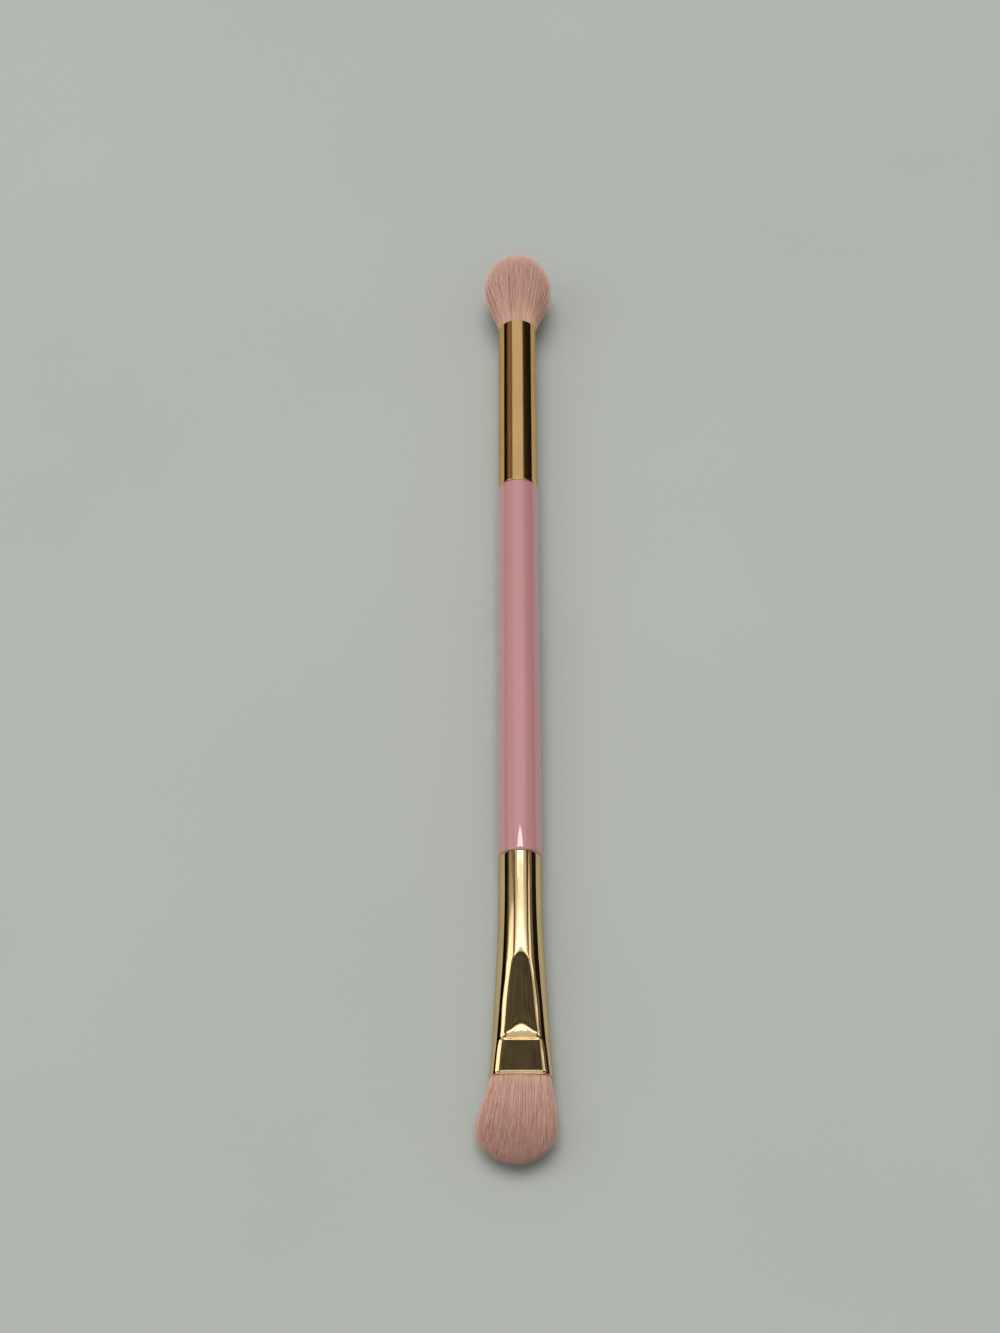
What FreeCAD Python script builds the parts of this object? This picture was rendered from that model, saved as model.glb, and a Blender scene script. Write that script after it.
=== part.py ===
"""Double-ended eyeshadow brush: a lacquered handle between a round blending end and a flat shader end.

The brush lies along Y with the blending end at +Y, its flat faces level and +Z up. The origin is under the
middle of its length, on the surface that it lies on. Each end is modelled with its ferrule mouth at zero and
its hair pointing along +Y, and is then set on the handle.
"""
import FreeCAD
import Part

import os
from math import hypot, isclose

from FreeCAD import Vector

# Handle: a turned wooden barrel with a tenon at each end
HANDLE_LENGTH = 71.5
HANDLE_DIAMETER = 7.0
HANDLE_EDGE_RADIUS = 0.4
TENON_LENGTH = 11.0
TENON_CHAMFER = 0.5

# Fits that both ends share
FERRULE_SETBACK = 0.05  # how far the ferrule's skin lies inside the handle's
FERRULE_WALL = 0.35
RIM_RADIUS = 0.12  # rounded edge of a ferrule's two rims
TENON_GLUE = 0.12  # thickness of the glue film round a tenon
FIT_GAP = 0.02  # room between nested pieces
HAIR_MARGIN = 0.1  # how far the hair stays inside its ferrule's mouth
GLUE_COLLAR = 0.4  # glue round the rear of the hair bundle
FLEX_GAP = 0.2  # room between the two halves of a tuft
FLEX_CLEARANCE = 0.25  # room between the moving half of a tuft and the ferrule's rim
SAME_PLACE = 1e-06  # places nearer than this count as one

# Blending end: a round tube and a full domed tuft
BLENDING_FERRULE_LENGTH = 36.0
BLENDING_TUFT_LENGTH = 17.3
BLENDING_BELLY_DIAMETER = 11.6
BLENDING_ROOT_DEPTH = 12.0
BLENDING_GLUE_GRIP = 5.0  # how far the glue reaches up round the hair
BLENDING_GLUE_FLOOR = 2.0  # glue behind the hair
BLENDING_FLEX_DISTANCE = 2.6  # from the mouth to the line that the tuft bends about
# Outline of the tuft past the mouth, as shares of its length and of its belly radius
BLENDING_OUTLINE_SHARES = ((0.27, 0.83), (0.58, 1.0), (0.8, 0.89), (0.94, 0.56))
BLENDING_START_SLOPE_SHARE = 0.45  # rise of the outline at the mouth, per unit of length

# Shader end: a tube pressed flat towards its mouth, and a flat fan-shaped tuft
SHADER_FERRULE_LENGTH = 36.0
SHADER_MOUTH_WIDTH = 9.6
SHADER_MOUTH_THICKNESS = 3.9  # across the two pressed panels
SHADER_BLANK_THICKNESS = 4.9  # of the mouth before the panels are pressed
SHADER_PANEL_LENGTH = 5.3
SHADER_CREASE_WIDTH = 8.75
SHADER_CREASE_THICKNESS = 5.5
SHADER_SCOOP_LENGTH = 13.5  # bowed slope behind the crease
SHADER_SCOOP_STEP = 0.16  # how far the slope ends above the panel and starts above the tube
SHADER_SCOOP_BOW_SHARE = 0.56  # height of the slope's middle, between its foot and its start
SHADER_SWELL_HEIGHT = 0.5  # half-round swelling behind the crease
SHADER_SWELL_DEPTH = 2.3
SHADER_SWELL_WIDTH = 6.2
SHADER_TUFT_LENGTH = 13.2
SHADER_BELLY_WIDTH = 12.0
SHADER_BELLY_THICKNESS = 6.4
SHADER_ROOT_DEPTH = 10.0
SHADER_GLUE_GRIP = 4.0
SHADER_GLUE_FLOOR = 2.0
SHADER_FLEX_DISTANCE = 2.0
# Sections of the tuft past the mouth: shares of its length, belly width and belly thickness
SHADER_SECTION_SHARES = (
    (0.2, 0.87, 0.74),
    (0.42, 0.96, 0.93),
    (0.62, 1.0, 1.0),
    (0.78, 0.93, 0.93),
    (0.9, 0.73, 0.72),
    (0.97, 0.43, 0.42),
)

# Values worked out from the sizes above
CUT_OVERRUN = HANDLE_DIAMETER
HANDLE_RADIUS = HANDLE_DIAMETER / 2
FERRULE_RADIUS = HANDLE_RADIUS - FERRULE_SETBACK
BORE_RADIUS = FERRULE_RADIUS - FERRULE_WALL
TENON_RADIUS = BORE_RADIUS - FIT_GAP - TENON_GLUE - FIT_GAP
BLENDING_BELLY_RADIUS = BLENDING_BELLY_DIAMETER / 2
AXIS_HEIGHT = max(BLENDING_BELLY_RADIUS, SHADER_BELLY_THICKNESS / 2, HANDLE_RADIUS)
BLENDING_END_LENGTH = BLENDING_FERRULE_LENGTH + BLENDING_TUFT_LENGTH
SHADER_END_LENGTH = SHADER_FERRULE_LENGTH + SHADER_TUFT_LENGTH
BRUSH_LENGTH = SHADER_END_LENGTH + HANDLE_LENGTH + BLENDING_END_LENGTH
SHADER_RIM_Y = SHADER_END_LENGTH - BRUSH_LENGTH / 2
BLENDING_RIM_Y = SHADER_RIM_Y + HANDLE_LENGTH
SHADER_MOUTH_Y = SHADER_RIM_Y - SHADER_FERRULE_LENGTH
BLENDING_MOUTH_Y = BLENDING_RIM_Y + BLENDING_FERRULE_LENGTH

ALONG = Vector(0, 1, 0)
ACROSS = Vector(1, 0, 0)
UP = Vector(0, 0, 1)


def rod(radius, start, end):
    """Round bar on the brush's axis between two places along it."""
    return Part.makeCylinder(radius, end - start, Vector(0, start, 0), ALONG)


def slab(start, end, reach):
    """Block that takes in everything within reach of the axis between two places along it."""
    corner = Vector(-reach, start, -reach)
    return Part.makeBox(2 * reach, end - start, 2 * reach, corner)


def ring_wire(place, half_width, half_height):
    """Elliptic or round section square to the axis, with its seam at the side."""
    longer = max(half_width, half_height)
    shorter = min(half_width, half_height)
    frame_x = ACROSS if half_width >= half_height else UP
    if longer == shorter:
        curve = Part.Circle(Vector(0, place, 0), ALONG, longer)
    else:
        far_end = Vector(0, place, 0) + frame_x * longer
        near_end = Vector(0, place, 0) + ALONG.cross(frame_x) * shorter
        curve = Part.Ellipse(far_end, near_end, Vector(0, place, 0))
    return Part.Wire([curve.toShape()])


def rim_edges(solid, *places):
    """The whole round edges that lie square to the axis at the given places along it."""
    found = []
    for edge in solid.Edges:
        if isinstance(edge.Curve, Part.Circle) and edge.isClosed():
            middle = edge.Curve.Center.y
            if any(isclose(middle, place, abs_tol=SAME_PLACE) for place in places):
                found.append(edge)
    return found


def set_on_blending_end(shape):
    """Moves a shape from the end's own frame to the +Y end of the handle."""
    placed = shape.copy()
    placed.translate(Vector(0, BLENDING_MOUTH_Y, AXIS_HEIGHT))
    return placed


def set_on_shader_end(shape):
    """Turns a shape end for end and moves it to the -Y end of the handle."""
    placed = shape.copy()
    placed.rotate(Vector(0, 0, 0), UP, 180)
    placed.translate(Vector(0, SHADER_MOUTH_Y, AXIS_HEIGHT))
    return placed


def handle():
    """Barrel with rounded shoulders and a chamfered tenon at each end."""
    barrel = rod(HANDLE_RADIUS, SHADER_RIM_Y, BLENDING_RIM_Y)
    barrel = barrel.makeFillet(HANDLE_EDGE_RADIUS, rim_edges(barrel, SHADER_RIM_Y, BLENDING_RIM_Y))
    tenon_start = SHADER_RIM_Y - TENON_LENGTH
    tenon_end = BLENDING_RIM_Y + TENON_LENGTH
    tenons = rod(TENON_RADIUS, tenon_start, tenon_end)
    tenons = tenons.makeChamfer(TENON_CHAMFER, rim_edges(tenons, tenon_start, tenon_end))
    turned = barrel.fuse(tenons).removeSplitter()
    turned.translate(Vector(0, 0, AXIS_HEIGHT))
    return turned


def tenon_glue(ferrule_length):
    """Film of glue between a tenon and the ferrule round it, in the end's own frame."""
    start = FIT_GAP - ferrule_length
    end = TENON_LENGTH - TENON_CHAMFER - ferrule_length
    return rod(BORE_RADIUS - FIT_GAP, start, end).cut(rod(TENON_RADIUS + FIT_GAP, start, end))


def round_skin(inset):
    """The blending ferrule's outer skin, drawn in by an inset and run past both rims when inset."""
    overrun = CUT_OVERRUN if inset else 0
    return rod(FERRULE_RADIUS - inset, -BLENDING_FERRULE_LENGTH - overrun, overrun)


def blending_ferrule():
    """Straight tube with rounded outer rims."""
    skin = round_skin(0)
    rims = rim_edges(skin, 0, -BLENDING_FERRULE_LENGTH)
    return skin.makeFillet(RIM_RADIUS, rims).cut(round_skin(FERRULE_WALL))


def blending_tuft():
    """The hair past the mouth: it flares to a belly and closes in a dome."""
    start_radius = BORE_RADIUS - HAIR_MARGIN
    points = [Vector(start_radius, 0, 0)]
    for length_share, radius_share in BLENDING_OUTLINE_SHARES:
        points.append(Vector(BLENDING_BELLY_RADIUS * radius_share, BLENDING_TUFT_LENGTH * length_share, 0))
    tip = Vector(0, BLENDING_TUFT_LENGTH, 0)
    outline = Part.BSplineCurve()
    outline.interpolate(
        Points=points + [tip],
        InitialTangent=Vector(BLENDING_START_SLOPE_SHARE, 1, 0),
        FinalTangent=Vector(-1, 0, 0),
    )
    axis_edge = Part.makeLine(tip, Vector(0, 0, 0))
    mouth_edge = Part.makeLine(Vector(0, 0, 0), points[0])
    half = Part.Face(Part.Wire([outline.toShape(), axis_edge, mouth_edge]))
    return half.revolve(Vector(0, 0, 0), ALONG, 360)


def scoop(inset):
    """One face's pressing tool: a level panel at the mouth and a bowed slope behind the crease."""
    reach = SHADER_MOUTH_WIDTH + CUT_OVERRUN
    panel = SHADER_MOUTH_THICKNESS / 2 - inset
    crease = -SHADER_PANEL_LENGTH
    slope_foot = panel + SHADER_SCOOP_STEP
    slope_start = crease - SHADER_SCOOP_LENGTH
    slope_middle = crease - SHADER_SCOOP_LENGTH / 2
    top = FERRULE_RADIUS - inset + SHADER_SCOOP_STEP
    bow = SHADER_SCOOP_BOW_SHARE * (top - slope_foot)
    slope = Part.Arc(
        Vector(-reach, slope_start, top),
        Vector(-reach, slope_middle, slope_foot + bow),
        Vector(-reach, crease, slope_foot),
    )
    corners = [
        Vector(-reach, crease, slope_foot),
        Vector(-reach, crease, panel),
        Vector(-reach, CUT_OVERRUN, panel),
        Vector(-reach, CUT_OVERRUN, top + CUT_OVERRUN),
        Vector(-reach, slope_start, top + CUT_OVERRUN),
        Vector(-reach, slope_start, top),
    ]
    edges = [slope.toShape()]
    for first, second in zip(corners, corners[1:]):
        edges.append(Part.makeLine(first, second))
    return Part.Face(Part.Wire(edges)).extrude(ACROSS * 2 * reach)


def flattened_skin(inset):
    """The shader ferrule's outer skin, drawn in by an inset and run past both rims when inset."""
    overrun = CUT_OVERRUN if inset else 0
    seat_end = TENON_LENGTH - SHADER_FERRULE_LENGTH
    round_radius = FERRULE_RADIUS - inset
    mouth_half_width = SHADER_MOUTH_WIDTH / 2 - inset
    mouth_half_height = SHADER_BLANK_THICKNESS / 2 - inset
    seat = rod(round_radius, -SHADER_FERRULE_LENGTH - overrun, seat_end)
    crease_half_width = SHADER_CREASE_WIDTH / 2 - inset
    crease_half_height = SHADER_CREASE_THICKNESS / 2 - inset
    sections = [
        ring_wire(seat_end, round_radius, round_radius),
        ring_wire(-SHADER_PANEL_LENGTH, crease_half_width, crease_half_height),
        ring_wire(0, mouth_half_width, mouth_half_height),
    ]
    blank = seat
    for near, far in zip(sections, sections[1:]):
        blank = blank.fuse(Part.makeLoft([near, far], True, True))
    if overrun:
        blank = blank.fuse(Part.Face(sections[-1]).extrude(ALONG * overrun))
    upper = scoop(inset)
    lower = upper.mirror(Vector(0, 0, 0), UP)
    return blank.cut(upper).cut(lower)


def swelling():
    """Half-round swelling of the sheet behind the crease, on the upper face."""
    half_width = SHADER_SWELL_WIDTH / 2
    plan_radius = (half_width**2 + SHADER_SWELL_DEPTH**2) / (2 * SHADER_SWELL_DEPTH)
    foot = SHADER_MOUTH_THICKNESS / 2 + SHADER_SCOOP_STEP
    dome_radius = (plan_radius**2 + SHADER_SWELL_HEIGHT**2) / (2 * SHADER_SWELL_HEIGHT)
    crease = -SHADER_PANEL_LENGTH
    middle = crease - SHADER_SWELL_DEPTH + plan_radius
    dome = Part.makeSphere(dome_radius, Vector(0, middle, foot + SHADER_SWELL_HEIGHT - dome_radius))
    bed = foot - FERRULE_WALL / 2
    keep = Part.makeBox(
        2 * half_width,
        SHADER_SWELL_DEPTH,
        FERRULE_WALL / 2 + SHADER_SWELL_HEIGHT,
        Vector(-half_width, crease - SHADER_SWELL_DEPTH, bed),
    )
    return dome.common(keep)


def shader_ferrule():
    """Tube pressed flat at the mouth, with a swelling behind the crease on both faces."""
    upper = swelling()
    lower = upper.mirror(Vector(0, 0, 0), UP)
    skin = flattened_skin(0)
    skin = skin.makeFillet(RIM_RADIUS, rim_edges(skin, -SHADER_FERRULE_LENGTH))
    pressed = skin.fuse([upper, lower]).removeSplitter()
    return pressed.cut(flattened_skin(FERRULE_WALL))


def shader_tuft():
    """The hair past the mouth: a flat fan with a thick belly and a rounded edge."""
    inset = FERRULE_WALL + HAIR_MARGIN
    half_width = SHADER_MOUTH_WIDTH / 2 - inset
    half_height = SHADER_MOUTH_THICKNESS / 2 - inset
    sections = [ring_wire(0, half_width, half_height)]
    for length_share, width_share, thickness_share in SHADER_SECTION_SHARES:
        place = SHADER_TUFT_LENGTH * length_share
        half_width = SHADER_BELLY_WIDTH * width_share / 2
        half_height = SHADER_BELLY_THICKNESS * thickness_share / 2
        sections.append(ring_wire(place, half_width, half_height))
    sections.append(Part.Vertex(0, SHADER_TUFT_LENGTH, 0))
    return Part.makeLoft(sections, True, False)


def hair_and_glue(skin, free_hair, root_depth, glue_grip, glue_floor, reach):
    """The whole hair bundle, rooted in its ferrule, and the cup of glue that holds its rear end."""
    glue_top = glue_grip - root_depth
    front = skin(FERRULE_WALL + HAIR_MARGIN).common(slab(glue_top + FIT_GAP, 0, reach))
    rear_skin = skin(FERRULE_WALL + FIT_GAP + GLUE_COLLAR)
    rear = rear_skin.common(slab(-root_depth, glue_top + FIT_GAP, reach))
    bundle = free_hair.fuse([front, rear]).removeSplitter()
    cup = skin(FERRULE_WALL + FIT_GAP).common(slab(-root_depth - glue_floor, glue_top, reach))
    socket_skin = skin(FERRULE_WALL + GLUE_COLLAR)
    socket = socket_skin.common(slab(-root_depth - FIT_GAP, glue_top + CUT_OVERRUN, reach))
    return bundle, cup.cut(socket)


def split_to_bend(bundle, bend_distance, rim_height, bend_axis, reach):
    """Parts a bundle at a round knuckle about its bending line: the rooted base and the free head."""
    middle = Vector(0, bend_distance, 0)
    socket_radius = hypot(rim_height, bend_distance) + FLEX_CLEARANCE
    start = middle - bend_axis * reach
    socket = Part.makeCylinder(socket_radius, 2 * reach, start, bend_axis)
    knuckle = Part.makeCylinder(socket_radius - FLEX_GAP, 2 * reach, start, bend_axis)
    behind = slab(-BRUSH_LENGTH, 0, reach)
    base = bundle.common(knuckle.fuse(behind))
    head = bundle.cut(socket.fuse(behind))
    return base, head


def write_node(name, shape):
    """Saves one sub-part under its node name."""
    shape.exportStep(os.path.join("parts", name + ".step"))


def main():
    """Builds every sub-part of the brush and saves each as its own file."""
    os.makedirs("parts", exist_ok=True)
    write_node("handle", handle())

    reach = BLENDING_BELLY_DIAMETER + CUT_OVERRUN
    bundle, glue = hair_and_glue(
        round_skin, blending_tuft(), BLENDING_ROOT_DEPTH, BLENDING_GLUE_GRIP, BLENDING_GLUE_FLOOR, reach
    )
    base, head = split_to_bend(bundle, BLENDING_FLEX_DISTANCE, FERRULE_RADIUS, UP, reach)
    write_node("blending_ferrule", set_on_blending_end(blending_ferrule()))
    write_node("blending_tenon_glue", set_on_blending_end(tenon_glue(BLENDING_FERRULE_LENGTH)))
    write_node("blending_hair_glue", set_on_blending_end(glue))
    write_node("blending_hair_base", set_on_blending_end(base))
    write_node("blending_hair_head", set_on_blending_end(head))

    reach = SHADER_BELLY_WIDTH + SHADER_MOUTH_WIDTH
    bundle, glue = hair_and_glue(
        flattened_skin, shader_tuft(), SHADER_ROOT_DEPTH, SHADER_GLUE_GRIP, SHADER_GLUE_FLOOR, reach
    )
    base, head = split_to_bend(bundle, SHADER_FLEX_DISTANCE, SHADER_MOUTH_THICKNESS / 2, ACROSS, reach)
    write_node("shader_ferrule", set_on_shader_end(shader_ferrule()))
    write_node("shader_tenon_glue", set_on_shader_end(tenon_glue(SHADER_FERRULE_LENGTH)))
    write_node("shader_hair_glue", set_on_shader_end(glue))
    write_node("shader_hair_base", set_on_shader_end(base))
    write_node("shader_hair_head", set_on_shader_end(head))


main()
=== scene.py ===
"""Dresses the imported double-ended eyeshadow brush: pink lacquer, gold ferrules and two tufts of filaments."""
from math import atan2, cos, hypot, pi, radians, sin, sqrt

import bmesh
import bpy
import numpy as np
from bpy.props import FloatProperty, FloatVectorProperty, IntProperty, PointerProperty
from bpy.types import Operator, Panel, PropertyGroup
from mathutils import Matrix, Vector


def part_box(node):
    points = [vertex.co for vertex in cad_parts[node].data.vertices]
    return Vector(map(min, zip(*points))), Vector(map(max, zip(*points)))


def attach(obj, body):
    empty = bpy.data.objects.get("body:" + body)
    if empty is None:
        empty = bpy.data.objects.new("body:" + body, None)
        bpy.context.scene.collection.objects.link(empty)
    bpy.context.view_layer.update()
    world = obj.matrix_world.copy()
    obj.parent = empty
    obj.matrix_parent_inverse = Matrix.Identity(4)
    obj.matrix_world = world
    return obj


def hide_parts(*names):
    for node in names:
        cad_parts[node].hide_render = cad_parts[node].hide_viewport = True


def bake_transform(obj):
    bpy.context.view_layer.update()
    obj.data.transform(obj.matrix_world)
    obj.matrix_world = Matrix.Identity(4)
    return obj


bl_info = {
    "name": "Double-ended eyeshadow brush",
    "version": (1, 0, 0),
    "blender": (4, 5, 0),
    "location": "3D View > Sidebar > Brush",
    "description": "Finishes the packed brush with lacquer, gold and filaments",
    "category": "Object",
}

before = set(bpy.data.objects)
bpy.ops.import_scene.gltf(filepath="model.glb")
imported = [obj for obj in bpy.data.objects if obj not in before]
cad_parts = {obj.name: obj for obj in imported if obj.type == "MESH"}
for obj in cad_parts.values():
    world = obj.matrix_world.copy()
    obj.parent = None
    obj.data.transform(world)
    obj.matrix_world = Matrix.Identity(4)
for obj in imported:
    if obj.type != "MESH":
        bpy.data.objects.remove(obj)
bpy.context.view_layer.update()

MM = 0.001
MICRON = 1e-06
ACROSS, ALONG, UP = 0, 1, 2

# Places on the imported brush, all on its long axis
AXIS_HEIGHT = sum(corner.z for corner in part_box("handle")) / 2
BLENDING_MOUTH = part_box("blending_ferrule")[1].y
SHADER_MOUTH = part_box("shader_ferrule")[0].y
SHADER_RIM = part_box("shader_ferrule")[1].y
BLENDING_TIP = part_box("blending_hair_head")[1].y
SHADER_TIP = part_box("shader_hair_head")[0].y

# One filament: its points, its thickness along it, and the power that sets its points closer near the tip
FILAMENT_POINTS = 6
FILAMENT_TAPER = ((0.0, 1.0), (0.5, 1.0), (0.8, 0.65), (1.0, 0.18))
POINT_SPACING = 0.85
ROOT_DEPTH = 1.5 * MM

# The bundle: an even spiral of roots with a little unevenness, under a dome of tips
FILAMENT_SEED = 2406
GOLDEN_ANGLE = pi * (3 - sqrt(5))
ROOT_UNEVENNESS = 0.012
DOME_POWER = 2.3
DOME_STEPS = 200
CORE_SCATTER = 0.4
STRAY_BEND = 1.3
REST_SPREAD = 0.06 * MM

# Shades: the share that a filament has from its lock, and the darkest and palest tone of a tuft's colour
LOCK_SHADE = 0.45
BLENDING_SHADES = (0.74, 1.2)
SHADER_SHADES = (0.6, 1.32)

# Polish of the ferrules: roughness between and on their fine lines, and height of their pebbles and waves
ROUND_POLISH = ((0.07, 0.13), 0.8 * MICRON, 7.0 * MICRON)
FLAT_POLISH = ((0.05, 0.09), 0.8 * MICRON, 14.0 * MICRON)

# Most values of Blender's noise lie between these two
GRAIN_LOW, GRAIN_HIGH = 0.3, 0.7

# Sockets of the Mix node for colours
MIX_FACTOR, MIX_FIRST, MIX_SECOND, MIX_RESULT = 0, 6, 7, 2

# The brush lies on both tufts, so the floor leans with the line under them: where along the brush it touches
# each tuft, and at what height
FLOOR_TOUCH = ((79.7 * MM, 0.0), (-82.0 * MM, 2.6 * MM))
FLOOR_REACH = 6.0

# The pressed slope behind the crease: a start, an even fall and a dip at its foot in shares of the tube's
# radius, the steepness of its blunt start, and the power with which the oval tube sinks towards the crease
SCOOP_START = 0.97
SCOOP_FALL = 0.3
SCOOP_DIP = 0.058
SCOOP_DIP_POWER = 8
SCOOP_BLUNT = 0.2
OVAL_SINK_POWER = 1.5

# Softness of the ridges beside the pressed faces along the ferrule, from its mouth: tight at the crease
RIDGE_SOFTNESS = ((0.0, 0.9), (3.6 * MM, 0.9), (5.7 * MM, 0.45), (11.0 * MM, 0.9), (17.4 * MM, 0.35))

# The half-moon behind the crease: the power of its climb, and how round its back is in shares of half its
# width
HALF_MOON_POWER = 1.62
HALF_MOON_ROUNDING = 0.25

# Rings and sides of the ferrules' meshes
FERRULE_SIDES = 160
LIP_STEPS = 8
LONG_EDGE = 2.0 * MM
LONG_EDGE_CUTS = 12
SUPPORT = 0.05 * MM
SHARP_CORNER = radians(40.0)
SAME_PLACE = 1e-07


def mesh_piece(name, mesh, material):
    """A new object for a finished mesh, with its material."""
    piece = bpy.data.objects.new(name, mesh)
    bpy.context.scene.collection.objects.link(piece)
    mesh.materials.append(material)
    return piece


def paint_node(node, material):
    """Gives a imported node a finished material."""
    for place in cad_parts[node].material_slots:
        place.material = material


def new_material(name):
    """A material with one Principled shader; returns it with its node tree and shader."""
    material = bpy.data.materials.new(name)
    material.use_nodes = True
    tree = material.node_tree
    return material, tree, tree.nodes["Principled BSDF"]


def grain(tree, scale, detail=2.0, lengthwise=1.0):
    """Noise in the object's own space, in grains per metre; a low lengthwise share draws it out along Y."""
    place = tree.nodes.new("ShaderNodeTexCoord")
    turn = tree.nodes.new("ShaderNodeMapping")
    turn.inputs["Scale"].default_value = (1.0, lengthwise, 1.0)
    noise = tree.nodes.new("ShaderNodeTexNoise")
    noise.inputs["Scale"].default_value = scale
    noise.inputs["Detail"].default_value = detail
    tree.links.new(place.outputs["Object"], turn.inputs["Vector"])
    tree.links.new(turn.outputs["Vector"], noise.inputs["Vector"])
    return noise.outputs["Fac"]


def spread(tree, value, low, high):
    """Maps a grain value onto a range of numbers."""
    node = tree.nodes.new("ShaderNodeMapRange")
    node.inputs["From Min"].default_value = GRAIN_LOW
    node.inputs["From Max"].default_value = GRAIN_HIGH
    node.inputs["To Min"].default_value = low
    node.inputs["To Max"].default_value = high
    tree.links.new(value, node.inputs["Value"])
    return node.outputs["Result"]


def rise_along(tree, start, end):
    """A value that rises from 0 at one place along the object's own Y to 1 at another."""
    place = tree.nodes.new("ShaderNodeTexCoord")
    parts = tree.nodes.new("ShaderNodeSeparateXYZ")
    rise = tree.nodes.new("ShaderNodeMapRange")
    rise.inputs["From Min"].default_value = start
    rise.inputs["From Max"].default_value = end
    tree.links.new(place.outputs["Object"], parts.inputs["Vector"])
    tree.links.new(parts.outputs["Y"], rise.inputs["Value"])
    return rise.outputs["Result"]


def two_tones(tree, value, first, second):
    """A colour that goes from the first tone to the second with a value."""
    node = tree.nodes.new("ShaderNodeMix")
    node.data_type = "RGBA"
    node.inputs[MIX_FIRST].default_value = (*first, 1.0)
    node.inputs[MIX_SECOND].default_value = (*second, 1.0)
    tree.links.new(value, node.inputs[MIX_FACTOR])
    return node.outputs[MIX_RESULT]


def relief(tree, shader, *layers):
    """Fine reliefs on the shader's normal, each one a grain value and its height in metres."""
    target = shader.inputs["Normal"]
    for value, height in layers:
        bump = tree.nodes.new("ShaderNodeBump")
        bump.inputs["Strength"].default_value = 1.0
        bump.inputs["Distance"].default_value = height
        tree.links.new(value, bump.inputs["Height"])
        tree.links.new(bump.outputs["Normal"], target)
        target = bump.inputs["Normal"]


def toned(colour, factor):
    """The colour made lighter or darker by a factor."""
    return tuple(channel * factor for channel in colour)


def lacquer_finish(colour):
    """Thick pink gloss lacquer: faint flow marks in the colour, a little orange peel and a clear coat."""
    material, tree, shader = new_material("pink_lacquer")
    flow = grain(tree, 260.0, detail=3.0, lengthwise=0.12)
    tone = two_tones(tree, spread(tree, flow, 0.0, 1.0), toned(colour, 0.965), toned(colour, 1.03))
    tree.links.new(tone, shader.inputs["Base Color"])
    tree.links.new(spread(tree, grain(tree, 900.0, detail=4.0), 0.3, 0.42), shader.inputs["Roughness"])
    shader.inputs["IOR"].default_value = 1.5
    shader.inputs["Coat Weight"].default_value = 1.0
    shader.inputs["Coat Roughness"].default_value = 0.02
    shader.inputs["Coat IOR"].default_value = 1.75
    relief(tree, shader, (grain(tree, 420.0, detail=1.0), 0.7 * MICRON))
    return material


def gold_finish(name, colour, dulling, pebbles, waves):
    """Gold-coloured plating on drawn tube: fine lengthwise lines and a pebbled, wavy and patchy polish."""
    material, tree, shader = new_material(name)
    patches = grain(tree, 420.0, detail=4.0, lengthwise=0.35)
    tone = two_tones(tree, spread(tree, patches, 0.0, 1.0), toned(colour, 0.93), toned(colour, 1.04))
    tree.links.new(tone, shader.inputs["Base Color"])
    shader.inputs["Metallic"].default_value = 1.0
    shader.inputs["Specular Tint"].default_value = (0.7, 0.62, 0.5, 1.0)
    lines = grain(tree, 2600.0, detail=5.0, lengthwise=0.1)
    tree.links.new(spread(tree, lines, *dulling), shader.inputs["Roughness"])
    pebbled = grain(tree, 3200.0, detail=3.0, lengthwise=0.7)
    wavy = grain(tree, 300.0, lengthwise=0.35)
    relief(tree, shader, (pebbled, pebbles), (wavy, waves))
    return material


def hair_finish(name, colour, dark, pale):
    """Soft synthetic filament: each one a slightly different shade, matt with a faint sheen."""
    material, tree, shader = new_material(name)
    shade = tree.nodes.new("ShaderNodeAttribute")
    shade.attribute_name = "filament_shade"
    tone = two_tones(tree, shade.outputs["Fac"], toned(colour, dark), toned(colour, pale))
    tree.links.new(tone, shader.inputs["Base Color"])
    tree.links.new(spread(tree, grain(tree, 1500.0), 0.45, 0.6), shader.inputs["Roughness"])
    shader.inputs["Specular IOR Level"].default_value = 0.35
    shader.inputs["Sheen Weight"].default_value = 0.2
    shader.inputs["Sheen Roughness"].default_value = 0.5
    return material


def glue_finish(name, colour):
    """Hardened amber glue: cloudy, with small bubbles."""
    material, tree, shader = new_material(name)
    clouds = spread(tree, grain(tree, 700.0, detail=4.0), 0.0, 1.0)
    tone = two_tones(tree, clouds, toned(colour, 0.8), colour)
    tree.links.new(tone, shader.inputs["Base Color"])
    shader.inputs["Roughness"].default_value = 0.3
    relief(tree, shader, (grain(tree, 1800.0), 8.0 * MICRON))
    return material


def smooth_step(value):
    """Zero below 0, one above 1, and an even rise between them."""
    value = min(max(value, 0.0), 1.0)
    return value * value * (3 - 2 * value)


def soft_lower(first, second, rounding):
    """The lower of two heights, with the corner between them rounded."""
    lean = min(max(0.5 + 0.5 * (second - first) / rounding, 0.0), 1.0)
    return second + (first - second) * lean - rounding * lean * (1 - lean)


def between(place, points):
    """The value at a place along a list of (place, value) pairs."""
    places, values = zip(*points)
    return float(np.interp(place, places, values))


def eased(place, points):
    """The value at a place along (place, value) pairs, with an even rise or fall between each two."""
    for (start, first), (end, second) in zip(points, points[1:]):
        if place <= end:
            return first + (second - first) * smooth_step((place - start) / (end - start))
    return points[-1][1]


def behind_crease(shape, reach):
    """Share of the drop at the crease that is passed, and the distance behind the crease."""
    step = smooth_step((reach - shape.panel_length) / shape.crease_rounding + 0.5)
    return step, max(reach - shape.panel_length, 0.0)


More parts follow.
